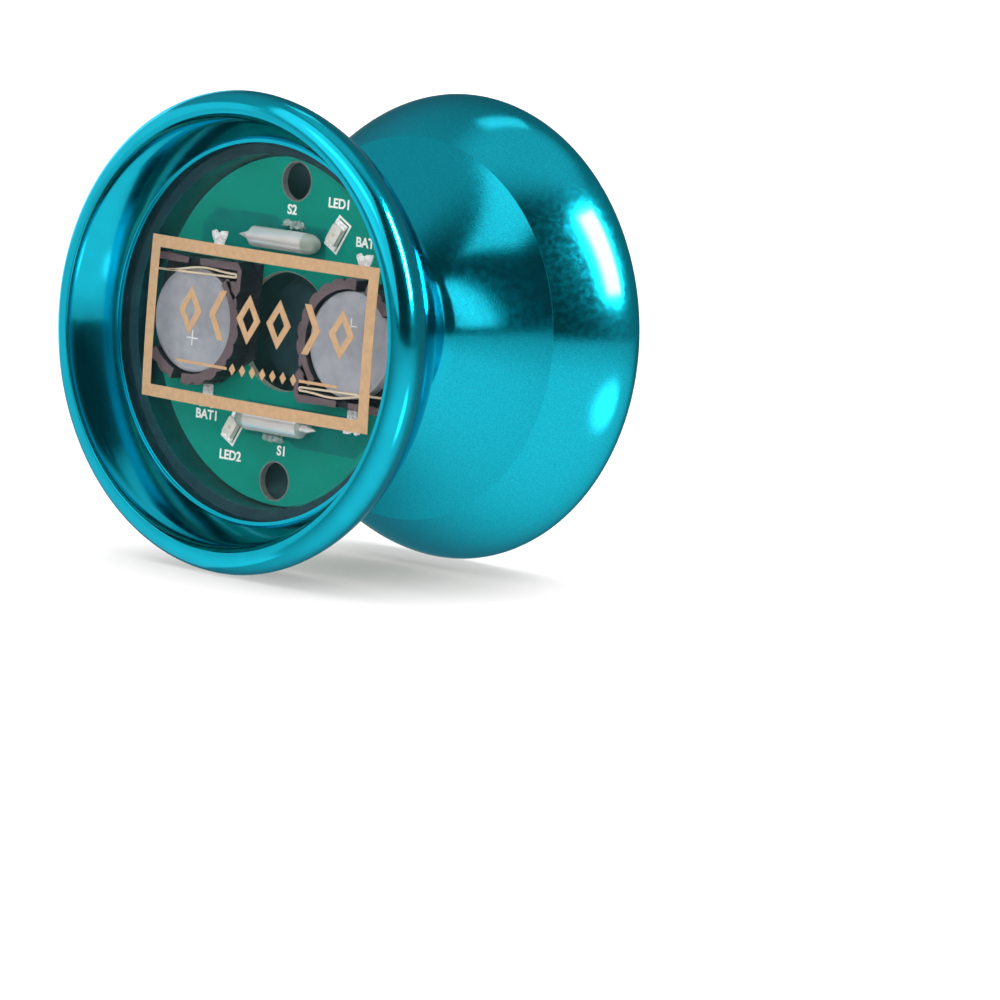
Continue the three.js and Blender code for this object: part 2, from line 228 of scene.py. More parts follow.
def make_floor():
    """A wide pale floor that the rims stand on."""
    bm = bmesh.new()
    bmesh.ops.create_circle(bm, cap_ends=True, segments=MID_SEGMENTS, radius=FLOOR_RADIUS * MM)
    bm.transform(Matrix.Translation((0, 0, -RIM_RADIUS * MM)))
    mesh = bpy.data.meshes.new("floor")
    bm.to_mesh(mesh)
    bm.free()
    mesh.materials.append(floor_white())
    floor = bpy.data.objects.new("floor", mesh)
    floor.visible_glossy = False
    SCENE.collection.objects.link(floor)
    return floor


def softbox(name, azimuth, elevation, wide, tall, radiance, distance=3.0):
    """An area light that covers wide by tall degrees of what the object sees."""
    data = bpy.data.lights.new(name, "AREA")
    data.shape = "RECTANGLE"
    data.size = 2 * distance * math.tan(math.radians(wide / 2))
    data.size_y = 2 * distance * math.tan(math.radians(tall / 2))
    data.energy = 4 * data.size * data.size_y * radiance  # power is shared over four times the area
    light = bpy.data.objects.new(name, data)
    towards = direction(azimuth, elevation)
    light.location = towards * distance
    light.rotation_mode = "QUATERNION"
    light.rotation_quaternion = towards.to_track_quat("Z", "Y")
    SCENE.collection.objects.link(light)
    return light


def rising(tree, value, start, end, low, high):
    """A smooth rise from low to high as the value goes from start to end."""
    ramp = tree.nodes.new("ShaderNodeMapRange")
    ramp.interpolation_type = "SMOOTHSTEP"
    for socket, number in zip(ramp.inputs[1:5], (start, end, low, high)):
        socket.default_value = number
    tree.links.new(value, ramp.inputs["Value"])
    return ramp.outputs["Result"]


def backing(tree, strength):
    """A grey part of the world, of a fixed or worked-out brightness."""
    background = tree.nodes.new("ShaderNodeBackground")
    background.inputs["Color"].default_value = (1, 1, 1, 1)
    if isinstance(strength, float):
        background.inputs["Strength"].default_value = strength
    else:
        tree.links.new(strength, background.inputs["Strength"])
    return background.outputs["Background"]


def chosen(tree, factor, if_zero, if_one):
    mix = tree.nodes.new("ShaderNodeMixShader")
    tree.links.new(factor, mix.inputs[0])
    tree.links.new(if_zero, mix.inputs[1])
    tree.links.new(if_one, mix.inputs[2])
    return mix.outputs["Shader"]


def towards(tree, place, azimuth, elevation):
    """How nearly a part of the world lies in a direction: 1 when it is dead on."""
    product = tree.nodes.new("ShaderNodeVectorMath")
    product.operation = "DOT_PRODUCT"
    product.inputs[1].default_value = direction(azimuth, elevation)
    tree.links.new(place, product.inputs[0])
    return product.outputs["Value"]


def combined(tree, operation, first, second):
    node = tree.nodes.new("ShaderNodeMath")
    node.operation = operation
    tree.links.new(first, node.inputs[0])
    tree.links.new(second, node.inputs[1])
    return node.outputs["Value"]


def make_world():
    """White behind everything, an even dome for soft light, and a dim studio to reflect.

    The studio is dark round the camera, lighter to its left and overhead. The ground
    is white in front and greyer behind and towards the horizon, with one bright patch
    to the right.
    """
    dome = 0.3
    backdrop = 1.05
    world = bpy.data.worlds.new("studio")
    SCENE.world = world
    world.use_nodes = True
    tree = world.node_tree
    tree.nodes.clear()
    place = tree.nodes.new("ShaderNodeTexCoord").outputs["Generated"]
    height = towards(tree, place, 0, 90)
    walls = rising(tree, towards(tree, place, -50, 25), 0.50, 0.88, 0.26, 0.05)
    left = rising(tree, towards(tree, place, -150, 20), 0.40, 0.90, 0.0, 0.22)
    overhead = rising(tree, height, 0.86, 0.985, 0.0, 0.45)
    studio = combined(tree, "ADD", combined(tree, "ADD", walls, left), overhead)
    ground = rising(tree, towards(tree, place, -30, -35), -0.3, 1.2, 0.36, 1.16)
    haze = rising(tree, height, -0.3, 0.0, 1.0, 0.68)
    glint = rising(tree, towards(tree, place, 4, -27), 0.972, 0.992, 0.0, 1.6)
    below = combined(tree, "ADD", combined(tree, "MULTIPLY", ground, haze), glint)
    above = rising(tree, height, -0.01, 0.01, 0.0, 1.0)
    reflected = chosen(tree, above, backing(tree, below), backing(tree, studio))
    path = tree.nodes.new("ShaderNodeLightPath")
    lit = chosen(tree, path.outputs["Is Diffuse Ray"], reflected, backing(tree, dome))
    seen = chosen(tree, path.outputs["Is Camera Ray"], lit, backing(tree, backdrop))
    output = tree.nodes.new("ShaderNodeOutputWorld")
    tree.links.new(seen, output.inputs["Surface"])


def link_light(light, state, *objects):
    """Makes a light spare some objects, with EXCLUDE, or light nothing else, with INCLUDE."""
    listed = bpy.data.collections.new(f"{light.name}_receivers")
    for item in objects:
        listed.objects.link(item)
    light.light_linking.receiver_collection = listed
    for entry in listed.collection_objects:
        entry.light_linking.link_state = state


def make_lights(floor, metals, yarn):
    """A tall key light close by on the right, panels for the metal to mirror, and a soft ceiling.

    Some panels light the front metal alone. Others spare what they would wash out.
    """
    key = softbox("key_light", 7, 36, 13, 34, 80.0, distance=0.2)
    link_light(key, "EXCLUDE", floor, *yarn)
    softbox("side_light", -97, 36, 34, 14, 0.95)
    front = softbox("front_light", -56, 20, 9, 32, 1.25)
    link_light(front, "EXCLUDE", metals["front"])
    softbox("top_light", 146, 66, 16, 9, 0.85)
    for name, azimuth, elevation, wide, tall, radiance in (
            ("dish_light", -98, 34, 56, 60, 0.85),
            ("backdrop_light", 157, 8, 34, 34, 1.2),
            ("wall_light", -162, -12, 66, 76, 0.5)):
        light = softbox(name, azimuth, elevation, wide, tall, radiance)
        link_light(light, "INCLUDE", metals["front"])
    face = softbox("face_light", -78, 34, 70, 60, 1.8)
    link_light(face, "EXCLUDE", floor, *yarn, *metals.values())
    ceiling = softbox("ceiling_light", 133, 76, 80, 80, 2.6)
    for light in (face, ceiling):
        light.visible_glossy = False


# ---- Materials ----------------------------------------------------------------

EDGE_TINT = (0.15, 0.6, 0.7, 1.0)  # keeps the dyed metal from turning white edge-on


def noise_node(tree, scale, detail=2.0, stretch=(1, 1, 1)):
    """Noise in the object's own coordinates. Scale is in features a metre."""
    place = tree.nodes.new("ShaderNodeTexCoord")
    mapping = tree.nodes.new("ShaderNodeMapping")
    mapping.inputs["Scale"].default_value = stretch
    texture = tree.nodes.new("ShaderNodeTexNoise")
    texture.inputs["Scale"].default_value = scale
    texture.inputs["Detail"].default_value = detail
    tree.links.new(place.outputs["Object"], mapping.inputs["Vector"])
    tree.links.new(mapping.outputs["Vector"], texture.inputs["Vector"])
    return texture.outputs["Fac"]


def wander(tree, socket, scale, low, high, stretch=(1, 1, 1)):
    """Lets a colour or grey socket wander between two values."""
    ramp = tree.nodes.new("ShaderNodeValToRGB")
    for end, position, colour in zip(ramp.color_ramp.elements, (0.35, 0.65), (low, high)):
        end.position = position
        end.color = (*colour, 1)
    tree.links.new(noise_node(tree, scale, stretch=stretch), ramp.inputs["Fac"])
    tree.links.new(ramp.outputs["Color"], socket)


def finish(name, colour, roughness, relief, **values):
    """A finish whose colour and roughness wander, with fine relief.

    colour and roughness hold a noise scale and the two ends of the range, and relief a
    noise scale and a depth in millimetres. A stretch of the noise may follow, after its
    detail for relief. Other values go to the shader's own sockets, with _ for spaces.
    """
    material = bpy.data.materials.new(name)
    material.use_nodes = True
    tree = material.node_tree
    shader = tree.nodes["Principled BSDF"]
    for socket, value in values.items():
        shader.inputs[socket.replace("_", " ")].default_value = value
    wander(tree, shader.inputs["Base Color"], *colour)
    scale, low, high, *rest = roughness
    wander(tree, shader.inputs["Roughness"], scale, (low,) * 3, (high,) * 3, *rest)
    scale, depth, *rest = relief
    bump = tree.nodes.new("ShaderNodeBump")
    bump.inputs["Strength"].default_value = 1.0
    bump.inputs["Distance"].default_value = depth * MM
    tree.links.new(noise_node(tree, scale, *rest), bump.inputs["Height"])
    tree.links.new(bump.outputs["Normal"], shader.inputs["Normal"])
    return material


def floor_white():
    return finish("floor_white", (40.0, (0.75, 0.75, 0.75), (0.76, 0.76, 0.76)),
                  (40.0, 1.0, 1.0), (40.0, 0.0), Specular_IOR_Level=0.0)


def anodised_polished():
    """Dyed aluminium as turned: glossy, under a clear sealed skin."""
    return finish("anodised_polished", (300.0, (0.001, 0.42, 0.56), (0.001, 0.45, 0.60)),
                  (900.0, 0.12, 0.15), (2500.0, 0.0006), Metallic=1.0, Specular_Tint=EDGE_TINT,
                  Coat_Weight=0.15, Coat_Roughness=0.06, Coat_IOR=1.6)


def anodised_blasted():
    """The same metal, bead-blasted before dyeing, so it sparkles."""
    return finish("anodised_blasted", (5500.0, (0.001, 0.40, 0.53), (0.003, 0.48, 0.62)),
                  (1500.0, 0.12, 0.16), (5500.0, 0.0045), Metallic=1.0, Specular_Tint=EDGE_TINT,
                  Coat_Weight=0.15, Coat_Roughness=0.12, Coat_IOR=1.6)


def shaded_cavity_metal():
    """The bored inside of a half, dull, with its teal darkened as painted shade."""
    return finish("anodised_cavity_painted_shade", (500.0, (0.012, 0.17, 0.20), (0.018, 0.21, 0.245)),
                  (900.0, 0.28, 0.4), (3000.0, 0.003), Metallic=0.9)


def seat_metal():
    """The shelf behind the cap's edge, shaded and dull."""
    return finish("anodised_seat", (500.0, (0.010, 0.05, 0.062), (0.014, 0.07, 0.085)),
                  (900.0, 0.5, 0.6), (3000.0, 0.003), Metallic=0.5)


def clear_plastic():
    return finish("clear_plastic", (200.0, (0.02, 0.04, 0.045), (0.03, 0.05, 0.055)),
                  (400.0, 0.03, 0.06), (150.0, 0.01), IOR=1.6, Alpha=0.06,
                  Coat_Weight=0.3, Coat_Roughness=0.02)


def clear_edge():
    """The cap's edge, which is seen through more plastic, so it shows more than the face."""
    return finish("clear_edge", (200.0, (0.012, 0.06, 0.08), (0.018, 0.08, 0.10)),
                  (400.0, 0.06, 0.12), (150.0, 0.01), IOR=1.6, Alpha=0.25,
                  Coat_Weight=0.3, Coat_Roughness=0.02)


def gold_ink():
    return finish("gold_ink", (1500.0, (0.49, 0.315, 0.175), (0.55, 0.355, 0.20)),
                  (2500.0, 0.42, 0.55), (9000.0, 0.003), Metallic=0.35)


def solder_mask():
    """Green lacquer over copper and glass cloth, whose weave just shows."""
    return finish("solder_mask", (350.0, (0.001, 0.205, 0.15), (0.001, 0.225, 0.17)),
                  (1200.0, 0.3, 0.42), (2200.0, 0.004), Specular_IOR_Level=0.05)


def covered_copper():
    """Lacquer where copper lies under it."""
    return finish("covered_copper", (900.0, (0.001, 0.14, 0.12), (0.001, 0.165, 0.14)),
                  (1200.0, 0.28, 0.4), (1500.0, 0.004), Specular_IOR_Level=0.05)


def glass_laminate():
    return finish("glass_laminate", (4000.0, (0.12, 0.15, 0.12), (0.20, 0.23, 0.18), (3, 0.4, 0.4)),
                  (3000.0, 0.5, 0.7), (6000.0, 0.01))


def white_ink():
    return finish("white_ink", (3000.0, (0.72, 0.76, 0.73), (0.85, 0.87, 0.85)),
                  (3000.0, 0.45, 0.6), (5000.0, 0.006))


def solder_metal():
    return finish("solder_metal", (2500.0, (0.92, 0.92, 0.93), (0.98, 0.98, 0.98)),
                  (3000.0, 0.2, 0.3), (1800.0, 0.012), Metallic=0.3)


def plated_hole():
    return finish("plated_hole", (3000.0, (0.20, 0.225, 0.215), (0.28, 0.31, 0.295)),
                  (3000.0, 0.3, 0.45), (3500.0, 0.01), Metallic=0.6)


def holder_painted_lit_top():
    # The holder's own black plastic, painted paler as painted light where lamps fall on its tops.
    return finish("holder_painted_lit_top", (2500.0, (0.11, 0.078, 0.088), (0.145, 0.105, 0.115)),
                  (2500.0, 0.5, 0.65), (5000.0, 0.012))


def holder_plastic():
    return finish("holder_plastic", (1500.0, (0.008, 0.013, 0.018), (0.013, 0.02, 0.027)),
                  (1500.0, 0.35, 0.5), (4000.0, 0.008))


def cell_steel():
    """Nickel-plated steel, lightly brushed."""
    return finish("cell_steel", (700.0, (0.40, 0.42, 0.47), (0.48, 0.50, 0.55)),
                  (1500.0, 0.3, 0.4, (1, 1, 9)), (2500.0, 0.002, 2.0, (1, 1, 9)), Metallic=0.4)


def contact_gold():
    return finish("contact_gold", (400.0, (0.95, 0.80, 0.58), (0.98, 0.85, 0.66)),
                  (600.0, 0.18, 0.24), (900.0, 0.001), Metallic=0.5)


def switch_steel():
    return finish("switch_steel", (300.0, (0.88, 0.87, 0.85), (0.92, 0.91, 0.89)),
                  (500.0, 0.18, 0.22), (600.0, 0.0004), Metallic=0.6)


def switch_bead():
    """Grey-green sealing resin."""
    return finish("switch_bead", (400.0, (0.31, 0.37, 0.32), (0.34, 0.40, 0.35)),
                  (500.0, 0.18, 0.25), (600.0, 0.0006), Metallic=0.3)


def clear_glue():
    return finish("clear_glue", (900.0, (0.6, 0.75, 0.72), (0.75, 0.86, 0.84)),
                  (900.0, 0.03, 0.12), (900.0, 0.04), IOR=1.8, Alpha=0.3)


def lamp_lens():
    return finish("lamp_lens", (1500.0, (0.52, 0.54, 0.49), (0.62, 0.64, 0.59)),
                  (1500.0, 0.12, 0.2), (2500.0, 0.006), Subsurface_Weight=0.3,
                  Subsurface_Radius=(0.0006, 0.0005, 0.0004))


def bearing_steel():
    return finish("bearing_steel", (600.0, (0.50, 0.51, 0.53), (0.58, 0.59, 0.61)),
                  (2000.0, 0.08, 0.18, (6, 1, 1)), (3000.0, 0.0015, 2.0, (6, 1, 1)), Metallic=1.0)


def cage_brass():
    return finish("cage_brass", (900.0, (0.52, 0.36, 0.12), (0.62, 0.44, 0.17)),
                  (1800.0, 0.25, 0.38), (3000.0, 0.004), Metallic=1.0)


def pad_silicone():
    return finish("pad_silicone", (1200.0, (0.74, 0.73, 0.68), (0.82, 0.81, 0.77)),
                  (2500.0, 0.55, 0.75), (5000.0, 0.01), Subsurface_Weight=0.25,
                  Subsurface_Radius=(0.001, 0.0009, 0.0008))


def axle_steel():
    return finish("axle_steel", (900.0, (0.06, 0.062, 0.068), (0.10, 0.10, 0.11)),
                  (2000.0, 0.25, 0.4), (4000.0, 0.004), Metallic=1.0)


def string_yarn():
    """Spun polyester, yellow-green, with fine fibres along the plies."""
    return finish("string_yarn", (2500.0, (0.46, 0.60, 0.05), (0.62, 0.75, 0.10)),
                  (4000.0, 0.7, 0.9), (9000.0, 0.05, 3.0), Sheen_Weight=0.3, Sheen_Roughness=0.5)


# ---- Mesh helpers -------------------------------------------------------------

def circle(radius, steps, centre=(0.0, 0.0), start=0.0, end=2 * math.pi, both_ends=False):
    """Points on a circle or an arc, anticlockwise."""
    count = steps + 1 if both_ends else steps
    points = []
    for i in range(count):
        angle = start + (end - start) * i / steps
        points.append((centre[0] + radius * math.cos(angle), centre[1] + radius * math.sin(angle)))
    return points


def between(first, last, share):
    """A point part of the way along a straight line."""
    return tuple(a + (b - a) * share for a, b in zip(first, last))


def arc_points(first, last, bulge, steps):
    """The points inside an arc that bulges to the left of its chord by bulge."""
    chord = Vector(last) - Vector(first)
    half = chord.length / 2
    along = chord.normalized()
    left = Vector((-along.y, along.x))
    middle = (Vector(first) + Vector(last)) / 2
    size = abs(bulge)
    radius = (half * half + size * size) / (2 * size)
    points = []
    for i in range(1, steps):
        s = (2 * i / steps - 1) * half
        rise = math.copysign(math.sqrt(radius * radius - s * s) - radius + size, bulge)
        points.append(tuple(middle + along * s + left * rise))
    return points


def eased(points, radius, closed=False):
    """The outline with every clear corner rounded."""
    least_turn = math.radians(20)
    longest_share = 0.45  # of a side that a corner may take up
    steps = 4
    count = len(points)
    result = []
    for i, point in enumerate(points):
        if not closed and i in (0, count - 1):
            result.append(point)
            continue
        here = Vector(point)
        before = Vector(points[i - 1]) - here
        after = Vector(points[(i + 1) % count]) - here
        turn = math.pi - before.angle(after)
        if turn < least_turn:
            result.append(point)
            continue
        reach = min(radius * math.tan(turn / 2), longest_share * before.length, longest_share * after.length)
        first = here + before.normalized() * reach
        last = here + after.normalized() * reach
        for k in range(steps + 1):
            t = k / steps
            spot = first * (1 - t) ** 2 + here * 2 * t * (1 - t) + last * t ** 2
            result.append(tuple(spot))
    return result


def join_rings(bm, low, high, material=0):
    """Faces between two rings with the same number of corners."""
    for k in range(len(low)):
        face = bm.faces.new((low[k - 1], low[k], high[k], high[k - 1]))
        face.material_index = material


def add_lathe(bm, points, segments, material=0, closed=False):
    """Turns an outline of (radius, height) points about the local w axis."""
    rings = []
    on_axis_r = 1e-6
    for r, w in points:
        if r < on_axis_r:
            rings.append([bm.verts.new((0, 0, w))])
        else:
            rings.append([bm.verts.new((u, v, w)) for u, v in circle(r, segments)])
    if closed:
        rings.append(rings[0])
    for low, high in zip(rings, rings[1:]):
        for i in range(segments):
            j = (i + 1) % segments
            corners = (low[i % len(low)], low[j % len(low)], high[j % len(high)], high[i % len(high)])
            face = bm.faces.new(list(dict.fromkeys(corners)))
            face.material_index = material


def add_slab(bm, loops, low, high, material=0, side_material=None):
    """Raises flat outlines of (u, v) points. The first is the edge and the rest are holes."""
    levels = []
    for level in (low, high):
        rings = []
        edges = []
        for loop in loops:
            ring = [bm.verts.new((u, v, level)) for u, v in loop]
            edges += [bm.edges.new((a, b)) for a, b in zip(ring, ring[1:] + ring[:1])]
            rings.append(ring)
        filled = bmesh.ops.triangle_fill(bm, use_beauty=True, edges=edges)
        for item in filled["geom"]:
            if isinstance(item, bmesh.types.BMFace):
                item.material_index = material
        levels.append(rings)
    for low_ring, high_ring in zip(*levels):
        join_rings(bm, low_ring, high_ring, material if side_material is None else side_material)


def add_lump(bm, centre, size, seed, unevenness, material=0):
    """A soft uneven blob, as of glue or solder."""
    made = bmesh.ops.create_uvsphere(bm, u_segments=24, v_segments=12, radius=1.0)
    dents = 1.7  # how closely the dents lie
    for vert in made["verts"]:
        push = 1 + unevenness * noise.noise(vert.co * dents + Vector((seed * 3.1, seed * 1.7, 0)))
        vert.co = Vector([vert.co[k] * push * size[k] + centre[k] for k in range(3)])
        for face in vert.link_faces:
            face.material_index = material


def weld(bm):
    """Joins stretches of a surface that share an edge."""
    bmesh.ops.remove_doubles(bm, verts=bm.verts, dist=0.0001)


def merge(bm, part, place):
    """Moves everything in part, placed, into bm."""
    part.transform(place)
    mesh = bpy.data.meshes.new("part")
    part.to_mesh(mesh)
    part.free()
    bm.from_mesh(mesh)
    bpy.data.meshes.remove(mesh)


def add_text(bm, words, height, centre, material):
    """Generic lettering as thin raised ink on the board."""
    capital_share = 0.7  # of the type size that a capital letter takes up
    curve = bpy.data.curves.new("words", "FONT")
    curve.body = words
    curve.size = height / capital_share
    curve.align_x = "CENTER"
    curve.align_y = "CENTER"
    curve.extrude = INK / 2
    curve.offset = 0.04
    holder = bpy.data.objects.new("words", curve)
    mesh = bpy.data.meshes.new_from_object(holder)
    part = bmesh.new()
    part.from_mesh(mesh)
    bmesh.ops.remove_doubles(part, verts=part.verts, dist=0.0005)
    for face in part.faces:
        face.material_index = material
    merge(bm, part, Matrix.Translation((centre[0], centre[1], BOARD_TOP_W + INK / 2)))
    bpy.data.objects.remove(holder)
    bpy.data.curves.remove(curve)
    bpy.data.meshes.remove(mesh)


def make_piece(name, bm, place, materials, body, slot, nodes=(), sharp=28.0, bevel=0.0):
    """Places a bmesh in the row frame, in metres, as one piece of the object."""
    bmesh.ops.recalc_face_normals(bm, faces=bm.faces)
    bm.transform(Matrix.Scale(MM, 4) @ place)
    mesh = bpy.data.meshes.new(name)
    bm.to_mesh(mesh)
    bm.free()
    for material in materials:
        mesh.materials.append(material)
    mesh.shade_smooth()
    mesh.set_sharp_from_angle(angle=math.radians(sharp))
    piece = bpy.data.objects.new(name, mesh)
    SCENE.collection.objects.link(piece)
    if bevel:
        rounder = piece.modifiers.new("edges", "BEVEL")
        rounder.width = bevel * MM
        rounder.segments = 2
        rounder.limit_method = "ANGLE"
        rounder.angle_limit = math.radians(40)
        rounder.harden_normals = True
    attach(piece, body)
    if nodes:
        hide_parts(*nodes)
    return piece


def turn_set(number):
    """Set 1 stands as it is, and set 2 is turned half a turn."""
    return Matrix.Rotation(math.pi * (number - 1), 4, "Z")


def add_to_half(side, name, bm, materials, slot, node=None, body="half", **edges):
    """Makes a piece of one half from a bmesh in the half's own frame."""
    nodes = [f"{side}_{node}"] if node else ()
    return make_piece(f"{side}_{name}", bm, HALVES[side], materials, f"{side}_{body}", slot, nodes, **edges)


def add_to_set(side, number, name, bm, materials, slot, node=None, **edges):
    """Makes a piece of one lamp set from a bmesh in the place it has in set 1."""
    bm.transform(turn_set(number))
    full_node = f"{node}_{number}" if node else None
    add_to_half(side, f"{name}_{number}", bm, materials, slot, full_node, **edges)


def lamp_place():
    """From the middle of a lamp to its place on the board."""
    return Matrix.Rotation(LED_ANGLE, 4, "Z") @ Matrix.Translation((LED_PITCH_R, 0, 0))


# ---- String -------------------------------------------------------------------

# The winding shifts sideways or climbs in short zones. Each climb comes just
# before the next turn's shift, so that no two turns meet. Angles are in degrees.
ZONE = 50.0
FULL = 360.0
LOOP_R = 2.1
LOOP_OUT = 75.0  # how much of the winding the finger loop lies along
LOOP_BACK = 59.0
LOOP_END = 1.15
STRING_STEP = 0.45
STRING_CLEARANCE = 0.05
KNOT_SIZE = 0.3
KNOT_LIFT = 0.9
KNOT_SHIFT = 0.35
KNOT_STRAND_R = 0.42


def ease(share):
    share = min(max(share, 0.0), 1.0)
    return share * share * (3 - 2 * share)


def winding_path():
    """Angle, radius and place along the axis of each point of the wound string."""
    events = []
    angle = FULL
    for layer in range(WINDING_LAYERS):
        for turn in range(TURNS_ACROSS - 1):
            events.append((angle, 1 if layer % 2 == 0 else -1, 0))
            angle += FULL if turn < TURNS_ACROSS - 2 else FULL - ZONE
        events.append((angle, 0, 1))
        angle += FULL - ZONE
    last = events[-1][0] + ZONE
    edge = (TURNS_ACROSS - 1) / 2
    first_r = BEARING_OUTER_R + STRING_CLEARANCE + STRING_DIAMETER / 2
    points = []
    steps = 5
    for degree in range(0, int(last) + steps, steps):
        across = sum(side * ease((degree - start) / ZONE) for start, side, rise in events)
        climb = sum(rise * ease((degree - start) / ZONE) for start, side, rise in events)
        points.append((math.radians(degree), first_r + climb * STRING_PITCH, (across - edge) * STRING_PITCH))
    return points


def loop_path(angle, radius, start):
    """The finger loop, lying on the winding: out along one side and back along the other."""
    points = []
    out = math.radians(LOOP_OUT)
    steps = 24
    for i in range(1, steps + 1):
        share = i / steps
        points.append((angle + out * share, radius, start + (LOOP_R - start) * ease(share * 2)))
    end = points[-1][0]
    for i in range(1, steps):
        turn = math.pi * i / steps
        points.append((end + LOOP_R * math.sin(turn) / radius, radius, LOOP_R * math.cos(turn)))
    for i in range(steps + 1):
        share = i / steps
        back = -LOOP_R + (LOOP_R - LOOP_END) * ease((share - 0.55) * 2.4)
        points.append((end - math.radians(LOOP_BACK) * share, radius, back))
    return points


def resampled(points, step):
    """Evenly spaced points along the path, and its length."""
    lengths = [0.0]
    for a, b in zip(points, points[1:]):
        lengths.append(lengths[-1] + (b - a).length)
    count = round(lengths[-1] / step)
    result = []
    k = 0
    for i in range(count + 1):
        at = lengths[-1] * i / count
        while k < len(points) - 2 and lengths[k + 1] < at:
            k += 1
        share = (at - lengths[k]) / max(lengths[k + 1] - lengths[k], 1e-9)
        result.append(points[k].lerp(points[k + 1], min(share, 1.0)))
    return result, lengths[-1]


def add_rope(bm, points, radius, plies=3, twist=2.6, sides=9):
    """A tube along the points whose section has one lobe for each ply, twisting as it goes."""
    rings = []
    normal = None
    travelled = 0.0
    for i, point in enumerate(points):
        ahead = points[min(i + 1, len(points) - 1)] - points[max(i - 1, 0)]
        tangent = ahead.normalized()
        if normal is None:
            normal = tangent.orthogonal().normalized()
        normal = (normal - tangent * normal.dot(tangent)).normalized()
        other = tangent.cross(normal)
        if i:
            travelled += (point - points[i - 1]).length
        phase = 2 * math.pi * travelled / (twist * plies)
        ring = []
        for k in range(sides):
            angle = 2 * math.pi * k / sides
            lobe = radius * (0.9 + 0.1 * math.cos(plies * (angle - phase)))
            reach = (normal * math.cos(angle) + other * math.sin(angle)) * lobe
            ring.append(bm.verts.new(point + reach))
        rings.append(ring)
    for low, high in zip(rings, rings[1:]):
        join_rings(bm, low, high)
    bm.faces.new(rings[0][::-1])
    bm.faces.new(rings[-1])


def on_axis(angle, radius, along):
    """A point round the spin axis, which is X. Angle 0 is at the back, +Y."""
    return Vector((along, radius * math.cos(angle), radius * math.sin(angle)))


def knot_path(end):
    """A trefoil knot on the outside of the winding, at the end of the string."""
    across = Vector((1, 0, 0))
    outward = Vector((0, end.y, end.z)).normalized()
    along_turn = across.cross(outward)
    centre = end + outward * KNOT_LIFT + across * KNOT_SHIFT
    points = []
    steps = 72
    for i in range(steps + 1):
        t = 2 * math.pi * i / steps
        spot = (across * (math.sin(t) + 2 * math.sin(2 * t))
                + along_turn * (math.cos(t) - 2 * math.cos(2 * t))
                - outward * 0.8 * math.sin(3 * t))
        points.append(centre + spot * KNOT_SIZE)
    return points


def make_string():
    """The string with its finger loop, wound on the bearing, and the loop's knot."""
    yarn = string_yarn()
    wound = winding_path()
    polar = wound + loop_path(*wound[-1])
    path, length = resampled([on_axis(*spot) for spot in polar], STRING_STEP)
    bm = bmesh.new()
    add_rope(bm, path, STRING_DIAMETER / 2)
    string = make_piece("string", bm, Matrix.Identity(4), [yarn], "string_bearing", "string",
                        ["string_winding"], sharp=80.0)
    bm = bmesh.new()
    add_rope(bm, knot_path(path[-1]), KNOT_STRAND_R)
    tie = make_piece("string_knot", bm, Matrix.Identity(4), [yarn], "string_bearing", "string", sharp=80.0)
    return string, tie


# ---- One half -----------------------------------------------------------------

def shoulder_points(steps):
    """The outside between the crease and the rim, which curves most at the crease."""
    points = []
    for i in range(1, steps):
        share = i / steps
        points.append((RIM_RADIUS - (RIM_RADIUS - CREASE[0]) * (1 - share) ** 1.5,
                       CREASE[1] + (RIM_W - CREASE[1]) * share))
    return points


